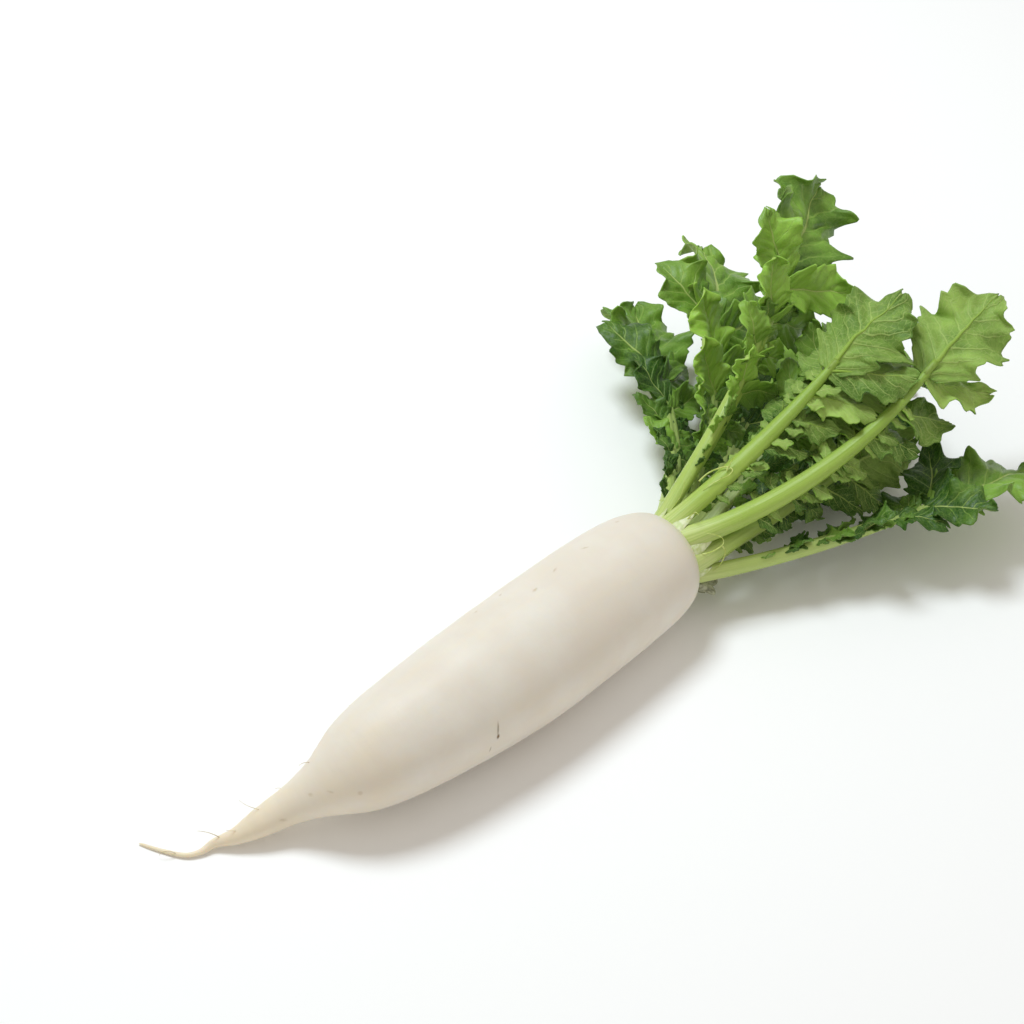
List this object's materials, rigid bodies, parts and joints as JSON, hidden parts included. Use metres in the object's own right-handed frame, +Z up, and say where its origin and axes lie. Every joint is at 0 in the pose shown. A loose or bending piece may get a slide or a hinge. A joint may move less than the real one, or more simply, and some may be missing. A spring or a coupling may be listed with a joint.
{
  "type": "daikon radish",
  "caption": "White daikon radish lying on its side: stout tapering root with a thread-thin tail and a fan of fleshy leaf stalks with toothed, waved lobes.",
  "frame": {"origin": "middle of the small flat spot under the belly that the root lies on", "axes": "+X along the root from the tail to the leaves, +Z up from the surface that the radish lies on"},
  "size_m": [0.4633, 0.2374, 0.13],
  "materials": {
    "root_skin": "smooth waxy off-white skin, solid watery flesh under it",
    "outer_leaf": "soft green leaf on a pale green stalk",
    "inner_leaf": "younger, lighter green leaf"
  },
  "bodies": {
    "root": {"root": "root_skin", "leaf_near": "outer_leaf", "leaf_low": "outer_leaf", "leaf_front": "outer_leaf", "leaf_top": "outer_leaf", "leaf_back": "outer_leaf", "leaf_far": "outer_leaf", "leaf_floor_far": "outer_leaf", "leaf_floor": "outer_leaf", "leaf_inner": "inner_leaf", "leaf_inner_far": "inner_leaf"}
  },
  "joints": []
}
